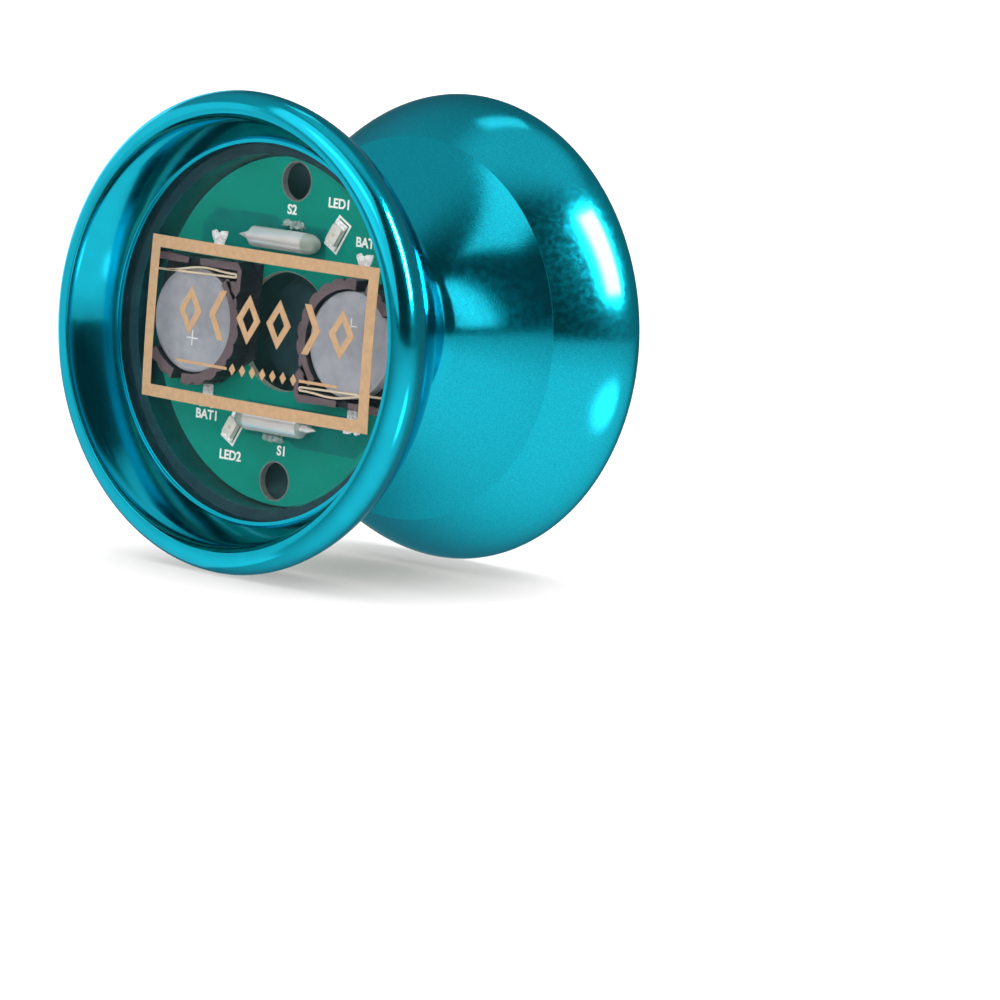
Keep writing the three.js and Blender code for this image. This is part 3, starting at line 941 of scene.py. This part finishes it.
def half_body(side, metals):
    """The metal cup, turned in stretches that differ in finish."""
    # The cavity finish is darkened as painted shade, and the shelf finish is shaded.
    polished, blasted, cavity, shelf = range(4)
    seat_w = BEARING_HALF_WIDTH + 0.2
    bore_end = AXLE_HALF_LENGTH + GAP
    post_r = BEARING_BORE_R - GAP
    axle_side = eased([
        (0, bore_end),
        (AXLE_R + GAP, bore_end),
        (AXLE_R + GAP, GAP / 2),
        (post_r, GAP / 2),
        (post_r, seat_w),
        (INNER_LAND_R - 0.1, seat_w),
        (INNER_LAND_R - 0.1, seat_w + GAP),
        (BEARING_OUTER_R + GAP, seat_w + GAP),
        (BEARING_OUTER_R + GAP, RESPONSE_W),
        (PAD_INNER_R - 0.15, RESPONSE_W),
        (PAD_INNER_R - 0.15, RESPONSE_W + PAD_DEPTH + 0.2),
        (PAD_OUTER_R + 0.15, RESPONSE_W + PAD_DEPTH + 0.2),
        (PAD_OUTER_R + 0.15, RESPONSE_W),
        (HUB[0] - 1.5, RESPONSE_W),
        (HUB[0] - 0.7, RESPONSE_W + 0.4),
        (HUB[0] - 0.15, HUB[1] - 0.2),
        HUB,
    ], 0.08)
    flare = arc_points(HUB, CREASE, 0.3, 20)
    shoulder = shoulder_points(28)
    crisp = 0.04  # keeps the crease sharp by points close on both sides
    flared = [HUB, *flare, between(CREASE, flare[-1], crisp), CREASE, between(CREASE, shoulder[0], crisp),
              *shoulder, (RIM_RADIUS, RIM_W)]
    rim = circle(RIM_ROUND, 18, (CREST_R, RIM_W), 0, math.pi / 2, both_ends=True)
    inner_land = (CREST_R - LAND_WIDTH, CREST_W)
    crest = eased([rim[-1], inner_land, *arc_points(inner_land, LIP, LIP_BULGE, 8), LIP], 0.12)
    ledge = (CAP_RADIUS + GAP / 2, SEAT_LEDGE[1])
    edge = (ledge[0], ledge[1] - 0.3)
    dish = eased([LIP, *arc_points(LIP, SEAT_LEDGE, -DISH_SAG, 12), SEAT_LEDGE, ledge, edge], 0.1)
    seat = eased([
        edge,
        (CAP_RADIUS + GAP / 2, CAP_FLOOR_W - 0.15),
        (CAVITY_R, CAP_FLOOR_W - 0.15),
    ], 0.1)
    inside = eased([
        (CAVITY_R, CAP_FLOOR_W - 0.15),
        (CAVITY_R, BOARD_SEAT_W),
    ], 0.15)
    under = eased([
        (CAVITY_R, BOARD_SEAT_W),
        (BOARD_RADIUS - 1.2, BOARD_SEAT_W),
        (HUB[0], HUB_FLOOR_W),
        (BOSS_R + 1.2, HUB_FLOOR_W),
        (BOSS_R, HUB_FLOOR_W + 1),
        (BOSS_R, bore_end + 0.9),
        (0, bore_end + 0.9),
    ], 0.15)
    bm = bmesh.new()
    stretches = ((axle_side, polished), (flared, blasted), (rim, polished), (crest, polished),
                 (dish, polished), (seat, shelf), (inside, cavity), (under, shelf))
    for points, metal in stretches:
        add_lathe(bm, points, ROUND_SEGMENTS, metal)
    weld(bm)
    piece = add_to_half(side, "metal", bm, metals, "anodised_metal", "half_body")
    piece.visible_diffuse = False  # so that its colour is not cast on the floor
    return piece


def dome_w(u, v):
    """Height of the cap's outer face."""
    return CAP_CROWN_W - (CAP_CROWN_W - CAP_EDGE_W) * (u * u + v * v) / CAP_DOME_R ** 2


def clear_cap(side, plastics):
    """The domed cap, with a stepped edge that sits in the seat."""
    face, rim = range(2)
    plug_r = CAVITY_R - GAP
    under_w = CAP_CROWN_W - CAP_THICKNESS
    steps = 24
    under = []
    outer = []
    for i in range(steps + 1):
        share = i / steps
        under.append((plug_r * share, under_w - (under_w - CAP_FLOOR_W) * share ** 2))
        outer.append((CAP_DOME_R * (1 - share), dome_w(CAP_DOME_R * (1 - share), 0)))
    edge = eased([under[-1], (CAP_RADIUS, CAP_FLOOR_W), (CAP_RADIUS, CAP_EDGE_W - 0.2), outer[0]], 0.08)
    bm = bmesh.new()
    for points, material in ((under, face), (edge, rim), (outer, face)):
        add_lathe(bm, points, ROUND_SEGMENTS, material)
    weld(bm)
    add_to_half(side, "cap", bm, plastics, "clear_cap", "clear_cap", body="cap")


def bar(u0, v0, u1, v1):
    return [(u0, v0), (u1, v0), (u1, v1), (u0, v1)]


def diamond(u, v, half_width, half_height):
    return [(u + half_width, v), (u, v + half_height), (u - half_width, v), (u, v - half_height)]


def chevron(u, v, reach, half_height, stroke):
    """An arrowhead that points to the side that reach has the sign of."""
    thick = math.copysign(stroke, reach)
    return [(u, v + half_height), (u + reach, v), (u, v - half_height),
            (u - thick, v - half_height), (u + reach - thick, v), (u - thick, v + half_height)]


def follow_dome(bm):
    """Cuts flat slabs into short lengths and lays them on the cap's outer face."""
    longest = 1.6
    halvings = 4
    for _ in range(halvings):
        long_edges = [edge for edge in bm.edges if edge.calc_length() > longest]
        if long_edges:
            bmesh.ops.subdivide_edges(bm, edges=long_edges, cuts=1)
            bmesh.ops.triangulate(bm, faces=[face for face in bm.faces if len(face.verts) > 4])
    clearance = 0.01
    for vert in bm.verts:
        vert.co.z += dome_w(vert.co.x, vert.co.y) + clearance


def cap_print(side, gold):
    """A gold frame round a row of diamonds and arrowheads, with rules and small diamonds below."""
    bm = bmesh.new()
    wide = PRINT_HALF_WIDTH
    tall = PRINT_HALF_HEIGHT
    band = PRINT_BAND
    pieces = [
        [bar(-wide, -tall, wide, -tall + band)],
        [bar(-wide, tall - band, wide, tall)],
        [bar(-wide, -tall + band, -wide + band, tall - band)],
        [bar(wide - band, -tall + band, wide, tall - band)],
    ]
    for start, end in RULE_SPANS:
        pieces.append([bar(start, RULE_V - RULE_WIDTH / 2, end, RULE_V + RULE_WIDTH / 2)])
    row_u, row_v = ROW_CENTRE
    figures = "d<dd>d"  # d for a diamond
    for k, figure in enumerate(figures):
        u = row_u + ROW_PITCH * (k - (len(figures) - 1) / 2)
        if figure == "d":
            pieces.append([diamond(u, row_v, *size) for size in (DIAMOND, DIAMOND_HOLE)])
        else:
            reach = CHEVRON_REACH if figure == ">" else -CHEVRON_REACH
            pieces.append([chevron(u, row_v, reach, DIAMOND[1], CHEVRON_STROKE)])
    for k in range(SMALL_COUNT):
        u = SMALL_CENTRE_U + SMALL_PITCH * (k - (SMALL_COUNT - 1) / 2)
        pieces.append([diamond(u, RULE_V, *SMALL_DIAMOND)])
    for loops in pieces:
        add_slab(bm, loops, 0.0, PRINT_THICKNESS)
    follow_dome(bm)
    add_to_half(side, "cap_print", bm, [gold], "gold_contact", body="cap", sharp=50.0)


def add_solder(bm, centre, material):
    """A flat ragged patch of solder with three peaks, as left where a contact is soldered."""
    centre_u, centre_v = centre
    outline = [(-1.3, 0.6), (-0.6, 0.85), (-0.2, 0.45), (0.3, 0.75), (1.3, 0.8), (1.2, 0.1), (0.85, -0.5),
               (0.8, -2.0), (-0.7, -2.0), (-0.8, -0.5), (-1.15, 0.0)]
    loop = eased([(centre_u + u, centre_v + v) for u, v in outline], 0.15, closed=True)
    add_slab(bm, [loop], BOARD_TOP_W, BOARD_TOP_W + 0.12, material)
    peaks = ((-0.45, 0.0, 0.5, 0.45), (0.55, 0.2, 0.45, 0.4), (0.05, -1.2, 0.45, 0.6))
    for k, (u, v, wide, tall) in enumerate(peaks):
        peak = (centre_u + u, centre_v + v, BOARD_TOP_W + 0.1)
        add_lump(bm, peak, (wide, tall, 0.2), 5 * k, 0.5, material)


def board(side, finishes):
    """The round board with its holes, copper areas, plated rims and white lettering."""
    mask, copper, laminate, plated, ink, solder = range(6)
    bm = bmesh.new()
    vent_segments = 40
    top = BOARD_TOP_W
    centres = [(0, sign * VENT_PITCH_R) for sign in (1, -1)]
    vents = [circle(VENT_HOLE_R, vent_segments, centre) for centre in centres]
    loops = [circle(BOARD_RADIUS, 160), circle(BOARD_HOLE_R, MID_SEGMENTS), *vents]
    add_slab(bm, loops, top - BOARD_THICKNESS, top, mask, laminate)
    sleeve_depth = BOARD_THICKNESS * 0.98
    for centre in centres:
        rim = [circle(radius, vent_segments, centre)
               for radius in (VENT_HOLE_R + PLATING_WIDTH, VENT_HOLE_R - PLATING_WIDTH / 2)]
        add_slab(bm, rim, top - sleeve_depth, top + INK, plated)
    hole_rim = [circle(BOARD_HOLE_R + reach, MID_SEGMENTS) for reach in (PLATING_WIDTH, 0.02)]
    add_slab(bm, hole_rim, top, top + INK, plated)
    for number in (1, 2):
        part = bmesh.new()
        plane = [(-14.3, 8.6), (-14.3, 11.3), (-12.3, 13.3), (-2.7, 13.3), (-1.9, 12.6), (5.3, 12.6),
                 (5.3, 8.6)]
        add_slab(part, [plane], top, top + INK / 2, copper)
        outline = [bar(-2.05, -1.15, 2.05, 1.15), bar(-1.8, -0.9, 1.8, 0.9)]
        lamp = bmesh.new()
        add_slab(lamp, outline, top, top + INK, ink)
        merge(part, lamp, lamp_place())
        for spot in SOLDER_PADS:
            add_solder(part, spot, solder)
        merge(bm, part, turn_set(number))
    for words, u, v in LEGEND:
        add_text(bm, words, LEGEND_HEIGHT, (u, v), ink)
    add_to_half(side, "board", bm, finishes, "circuit_board", "circuit_board", sharp=35.0)


def response_pad(side, silicone):
    """A soft ring that grips the string."""
    profile = eased([
        (PAD_INNER_R, RESPONSE_W),
        (PAD_OUTER_R, RESPONSE_W),
        (PAD_OUTER_R, RESPONSE_W + PAD_DEPTH),
        (PAD_INNER_R, RESPONSE_W + PAD_DEPTH),
    ], 0.2, closed=True)
    bm = bmesh.new()
    add_lathe(bm, profile, MID_SEGMENTS, closed=True)
    add_to_half(side, "pad", bm, [silicone], "response_pad", "response_pad")


def ring_edge(angle):
    """Outer radius of a holder's wall, which is scalloped."""
    return POCKET_R + 0.9 + 0.4 * abs(math.sin(11 * angle)) ** 0.6


def scalloped_wall(start, end):
    """A stretch of the wall round a cell, between two angles."""
    steps = max(8, round((end - start) * 40))
    outer = []
    inner = []
    for i in range(steps + 1):
        angle = start + (end - start) * i / steps
        reach = ring_edge(angle)
        outer.append((-CELL_OFFSET + reach * math.cos(angle), reach * math.sin(angle)))
        inner.append((-CELL_OFFSET + POCKET_R * math.cos(angle), POCKET_R * math.sin(angle)))
    return outer + inner[::-1]


def bar_end(outline, corner):
    """One end of the bar beside a cell, from an outline round the cell's centre."""
    return eased([(u - CELL_OFFSET, v) for u, v in outline], corner, closed=True)


def holder(side, number, plastics):
    """A cell holder: a thin base, and a scalloped wall and a bar whose tops are painted paler as painted
    light on the black plastic.
    """
    # The pale finish on the tops is painted light on the same black plastic.
    dark, pale = range(2)
    bm = bmesh.new()
    base_top = HOLDER_FOOT_W + HOLDER_BASE
    painted_lit_w = HOLDER_TOP_W - 0.12
    bridge_top = HOLDER_TOP_W - 0.5
    cut_u, cut_v = BASE_CUT
    high_angle = math.pi - math.asin(HOLDER_HIGH_V / HOLDER_REACH)
    low_angle = math.pi - math.asin(HOLDER_LOW_V / HOLDER_REACH)
    base = [(-HOLDER_INNER_U - cut_u, HOLDER_LOW_V), (-HOLDER_INNER_U, HOLDER_LOW_V + cut_v),
            (-HOLDER_INNER_U, HOLDER_HIGH_V),
            *circle(HOLDER_REACH, 24, start=high_angle, end=low_angle, both_ends=True)]
    add_slab(bm, [base], HOLDER_FOOT_W, base_top, dark)
    low_v = BAR_LOW_V
    notch = NOTCH_HALF_WIDTH
    plain = [(-6, low_v), (-notch, low_v), (-notch, 7.25), (-4, 7.5), (-6, 7.4)]
    hooked = [(notch, low_v), (6.95, low_v), (6.95, 5.25), (5.25, 5.1), (6.6, 3.0), (7.55, 4.2), (7.6, 6.6),
              (6.9, 7.5), (3.6, 7.35), (notch, 7.35)]
    walls = (
        scalloped_wall(-0.80 * math.pi, -0.605 * math.pi),
        scalloped_wall(-0.535 * math.pi, 0.25 * math.pi),
        bar_end(plain, 0.2),
        bar_end(hooked, 0.15),
    )
    for wall in walls:
        add_slab(bm, [wall], base_top, painted_lit_w, dark)
        add_slab(bm, [wall], painted_lit_w, HOLDER_TOP_W, pale)
    bridge = bar(-CELL_OFFSET - notch, low_v, -CELL_OFFSET + notch, HOLDER_HIGH_V - 0.1)
    add_slab(bm, [bridge], base_top, bridge_top, dark)
    add_to_set(side, number, "holder", bm, plastics, "cell_holder", "cell_holder", sharp=30.0, bevel=0.05)


def cell(side, number, finishes):
    """A coin cell with a rolled edge and a small printed cross."""
    steel, mark = range(2)
    bm = bmesh.new()
    step_w = CELL_TOP_W - 0.08
    profile = eased([
        (0, CELL_FLOOR_W),
        (CELL_R - 0.9, CELL_FLOOR_W),
        (CELL_R - 0.7, CELL_FLOOR_W + 0.25),
        (CELL_R, CELL_FLOOR_W + 0.45),
        (CELL_R, step_w),
        (CELL_R - 0.28, CELL_TOP_W),
        (CELL_R - 0.42, CELL_TOP_W),
        (CELL_R - 0.52, CELL_TOP_W - 0.04),
        (0, CELL_TOP_W - 0.04),
    ], 0.12)
    add_lathe(bm, profile, MID_SEGMENTS, steel)
    top = CELL_TOP_W - 0.05
    for arms in (bar(-0.9, -2.27, 0.9, -2.13), bar(-0.07, -3.1, 0.07, -1.3)):
        add_slab(bm, [arms], top, top + 0.03, mark)
    bm.transform(Matrix.Translation((-CELL_OFFSET, 0, 0)))
    add_to_set(side, number, "cell", bm, finishes, "coin_cell", "coin_cell")


def ribbon(points, thickness):
    """The outline of a bent strip of even thickness that follows the points."""
    left = []
    right = []
    for i, point in enumerate(points):
        ahead = Vector(points[min(i + 1, len(points) - 1)])
        behind = Vector(points[max(i - 1, 0)])
        along = (ahead - behind).normalized()
        out = Vector((-along.y, along.x)) * thickness / 2
        left.append(tuple(Vector(point) + out))
        right.append(tuple(Vector(point) - out))
    return left + right[::-1]


def contact(side, number, gold):
    """A straight spring strip that lies on the cell, doubled back as a bowed strip."""
    left_u, left_v = -CELL_OFFSET - 5.7, 5.38
    right_u, right_v = -CELL_OFFSET + 6.6, 5.7
    turn_r = 0.2
    bowed_length = 10.6
    bow = 0.5
    turn = circle(turn_r, 6, (right_u, right_v + turn_r), -math.pi / 2, math.pi / 2, both_ends=True)
    bowed = []
    steps = 14
    for i in range(1, steps + 1):
        share = i / steps
        lift = 2 * turn_r - 0.3 * share + bow * math.sin(math.pi * share) ** 2
        bowed.append((right_u - bowed_length * share, right_v - (right_v - left_v) * share + lift))
    bm = bmesh.new()
    strip = ribbon([(left_u, left_v), (right_u, right_v), *turn, *bowed], STRIP_THICKNESS)
    add_slab(bm, [strip], CELL_TOP_W + 0.02, HOLDER_TOP_W - 0.03)
    add_to_set(side, number, "contact", bm, [gold], "gold_contact", "cell_contact", sharp=35.0, bevel=0.02)


def switch(side, number, finishes):
    """A rolling-ball switch: a drawn can, a rounded insulating end and a soldered lead."""
    steel, bead = range(2)
    half = SWITCH_LENGTH / 2
    rim_w = half - SWITCH_BEAD
    can = [
        (0, -half - LEAD_LENGTH),
        (0.1, -half - LEAD_LENGTH + 0.05),
        (0.28, -half - LEAD_LENGTH * 0.7),
        (0.5, -half - LEAD_LENGTH * 0.4),
        (0.42, -half - LEAD_LENGTH * 0.2),
        (0.45, -half),
        (SWITCH_R - 0.25, -half),
        (SWITCH_R - 0.06, -half + 0.06),
        (SWITCH_R, -half + 0.25),
        (SWITCH_R, rim_w),
    ]
    end = []
    steps = 12
    for i in range(steps + 1):
        angle = math.pi / 2 * i / steps
        end.append((SWITCH_R * math.cos(angle) ** 0.8, rim_w + SWITCH_BEAD * math.sin(angle)))
    bm = bmesh.new()
    add_lathe(bm, can, SMALL_SEGMENTS, steel)
    add_lathe(bm, end, SMALL_SEGMENTS, bead)
    weld(bm)
    centre = (*SWITCH_PLACE, BOARD_TOP_W + SWITCH_R + GAP / 2)
    bm.transform(Matrix.Translation(centre) @ Matrix.Rotation(math.pi / 2, 4, "Y"))
    add_to_set(side, number, "switch", bm, finishes, "switch_can", "motion_switch")


def glue(side, number, clear):
    """Clear glue that holds a switch down, in a few lumps along its upper side."""
    bm = bmesh.new()
    u, v = SWITCH_PLACE
    low = BOARD_TOP_W + 0.35
    lumps = ((-0.9, 1.95, 0.7, 0.35), (0.1, 1.85, 0.8, 0.45), (1.2, 1.8, 0.6, 0.4))
    for k, (du, dv, wide, tall) in enumerate(lumps):
        add_lump(bm, (u + du, v + dv, low), (wide, tall, 0.5), 11 * number + k, 0.9)
    add_to_set(side, number, "glue", bm, [clear], "led_body", sharp=60.0)


def led(side, number, finishes):
    """A small lamp: a pale lens on a base, with plated ends and a gold die under its top."""
    lens, metal, die = range(3)
    bm = bmesh.new()
    low = BOARD_TOP_W + GAP / 2
    half = LED_LENGTH / 2
    side_v = LED_WIDTH / 2
    base_top = low + 0.3
    add_slab(bm, [bar(-half, -side_v, half, side_v)], low, base_top, lens)
    dome = eased(bar(-half + 0.5, -side_v + 0.04, half - 0.5, side_v - 0.04), 0.1, closed=True)
    add_slab(bm, [dome], base_top, low + LED_HEIGHT - 0.1, lens)
    for sign in (-1, 1):
        ends = sorted((sign * (half + 0.1), sign * (half - 0.4)))
        add_slab(bm, [bar(ends[0], -side_v - 0.05, ends[1], side_v + 0.05)], low, low + 0.38, metal)
    add_slab(bm, [bar(-0.2, -0.2, 0.2, 0.2)], low + LED_HEIGHT - 0.12, low + LED_HEIGHT - 0.07, die)
    bm.transform(lamp_place())
    add_to_set(side, number, "lamp", bm, finishes, "led_body", "led", bevel=0.05)


# ---- Bearing and axle ---------------------------------------------------------

def groove_points(land_r, steps):
    """The ball groove of a race, as points across it."""
    to_land = land_r - BALL_PITCH_R
    span = math.acos(abs(to_land) / GROOVE_R)
    points = []
    for i in range(steps + 1):
        angle = span * (2 * i / steps - 1)
        points.append((BALL_PITCH_R + math.copysign(GROOVE_R * math.cos(angle), to_land),
                       GROOVE_R * math.sin(angle)))
    return points


def races(steel):
    """The inner race, fixed on the axle, and the outer race that the string is wound on."""
    half = BEARING_HALF_WIDTH
    inner = [(BEARING_BORE_R, half), (BEARING_BORE_R, -half), (INNER_LAND_R, -half),
             *groove_points(INNER_LAND_R, 12), (INNER_LAND_R, half)]
    outer = [(BEARING_OUTER_R, -half), (BEARING_OUTER_R, half), (OUTER_LAND_R, half),
             *reversed(groove_points(OUTER_LAND_R, 12)), (OUTER_LAND_R, -half)]
    for name, profile, corner, body in (("inner_race", inner, 0.12, "front_half"),
                                        ("outer_race", outer, 0.15, "string_bearing")):
        bm = bmesh.new()
        add_lathe(bm, eased(profile, corner, closed=True), MID_SEGMENTS, closed=True)
        make_piece(name, bm, HALVES["front"], [steel], body, "bearing_steel", [f"bearing_{name}"])


def shields(steel):
    """A thin washer over the balls at each end, with its outer part raised."""
    inner_r, step_r, raised_r, outer_r = INNER_LAND_R + GAP, 4.7, 4.85, OUTER_LAND_R - 0.1
    for name, end in (("front", 1), ("rear", -1)):
        far = end * SHIELD_OUTER_W
        near = end * (SHIELD_OUTER_W - SHIELD_THICKNESS)
        dish = end * 0.06
        plate = [(inner_r, near), (step_r, near), (raised_r, near + dish), (outer_r, near + dish),
                 (outer_r, far), (raised_r, far), (step_r, far - dish), (inner_r, far - dish)]
        bm = bmesh.new()
        add_lathe(bm, plate, MID_SEGMENTS, closed=True)
        make_piece(f"shield_{name}", bm, HALVES["front"], [steel], "string_bearing", "bearing_steel",
                   [f"bearing_shield_{name}"])


def balls(steel):
    """The ring of balls, as one piece that turns with the cage."""
    bm = bmesh.new()
    for u, v in circle(BALL_PITCH_R, BALL_COUNT):
        bmesh.ops.create_uvsphere(bm, u_segments=28, v_segments=18, radius=BALL_R,
                                  matrix=Matrix.Translation((u, v, 0)))
    make_piece("balls", bm, HALVES["front"], [steel], "ball_set", "bearing_steel",
               [f"bearing_ball_{i + 1}" for i in range(BALL_COUNT)])


def cage():
    """A ribbon round the balls, open at each ball and joined over it by a narrow rail."""
    inner_r = INNER_LAND_R + GAP
    outer_r = OUTER_LAND_R - GAP
    pocket = GROOVE_R + 0.05
    bm = bmesh.new()
    segments = 192
    rings = []
    for i in range(segments):
        angle = 2 * math.pi * i / segments
        nearest = round(angle * BALL_COUNT / (2 * math.pi)) * 2 * math.pi / BALL_COUNT
        offset = (angle - nearest) * BALL_PITCH_R
        open_w = math.sqrt(max(pocket ** 2 - offset ** 2, 0.0))
        cos_a, sin_a = math.cos(angle), math.sin(angle)
        for sign in (-1, 1):
            low, high = sorted((sign * open_w, sign * CAGE_HALF_WIDTH))
            rings.append([bm.verts.new((r * cos_a, r * sin_a, w))
                          for r, w in ((inner_r, low), (outer_r, low), (outer_r, high), (inner_r, high))])
    for k, ring in enumerate(rings):
        join_rings(bm, ring, rings[(k + 2) % len(rings)])
    make_piece("cage", bm, HALVES["front"], [cage_brass()], "ball_set", "bearing_cage", ["bearing_cage"],
               sharp=35.0)


def axle():
    """The headless screw: a thread cut round it, and a key socket in its front end."""
    bm = bmesh.new()
    around = 48
    per_turn = 12
    chamfer = 0.4
    steps = round(2 * AXLE_HALF_LENGTH / THREAD_PITCH * per_turn)
    rings = []
    for i in range(steps + 1):
        w = -AXLE_HALF_LENGTH + 2 * AXLE_HALF_LENGTH * i / steps
        from_end = AXLE_HALF_LENGTH - abs(w)
        limit = AXLE_R - max(chamfer - from_end, 0)
        ring = []
        for k in range(around):
            angle = 2 * math.pi * k / around
            phase = (w / THREAD_PITCH - angle / (2 * math.pi)) % 1
            groove = THREAD_DEPTH * (1 - min(abs(2 * phase - 1) * 1.25, 1))
            r = min(AXLE_R - groove, limit)
            ring.append(bm.verts.new((r * math.cos(angle), r * math.sin(angle), w)))
        rings.append(ring)
    bm.faces.new(rings[0][::-1])
    socket_r = SOCKET_FLATS / 2 / math.cos(math.pi / 6)
    corners = [Vector(spot) for spot in circle(socket_r, 6, both_ends=True)]
    per_side = around // 6
    for level in (AXLE_HALF_LENGTH, AXLE_HALF_LENGTH - SOCKET_DEPTH):
        ring = []
        for k in range(around):
            corner = k // per_side
            share = (k % per_side) / per_side
            spot = corners[corner].lerp(corners[corner + 1], share)
            ring.append(bm.verts.new((spot.x, spot.y, level)))
        rings.append(ring)
    for low, high in zip(rings, rings[1:]):
        join_rings(bm, low, high)
    bm.faces.new(rings[-1])
    make_piece("threaded_axle", bm, HALVES["front"], [axle_steel()], "front_half", "axle_steel",
               ["axle_screw"], sharp=35.0)


# ---- Assembly -------------------------------------------------------------------

def centre_pieces():
    """The ball bearing and the axle screw."""
    steel = bearing_steel()
    races(steel)
    shields(steel)
    balls(steel)
    cage()
    axle()


def make_halves():
    """Both halves. Returns their metal bodies by side."""
    metals = [anodised_polished(), anodised_blasted(), shaded_cavity_metal(), seat_metal()]
    clear_plastics = [clear_plastic(), clear_edge()]
    ink = white_ink()
    solder = solder_metal()
    gold = contact_gold()
    print_gold = gold_ink()
    board_finishes = [solder_mask(), covered_copper(), glass_laminate(), plated_hole(), ink, solder]
    silicone = pad_silicone()
    plastics = [holder_plastic(), holder_painted_lit_top()]
    cell_finishes = [cell_steel(), ink]
    switch_finishes = [switch_steel(), switch_bead()]
    clear = clear_glue()
    lamp_finishes = [lamp_lens(), solder, gold]
    bodies = {}
    for side in HALVES:
        bodies[side] = half_body(side, metals)
        response_pad(side, silicone)
        board(side, board_finishes)
        clear_cap(side, clear_plastics)
        cap_print(side, print_gold)
        for number in (1, 2):
            cell(side, number, cell_finishes)
            holder(side, number, plastics)
            contact(side, number, gold)
            switch(side, number, switch_finishes)
            glue(side, number, clear)
            led(side, number, lamp_finishes)
    return bodies


make_camera()
string_pieces = make_string()
make_world()
centre_pieces()
make_lights(make_floor(), make_halves(), string_pieces)
SCENE.view_settings.view_transform = "Standard"
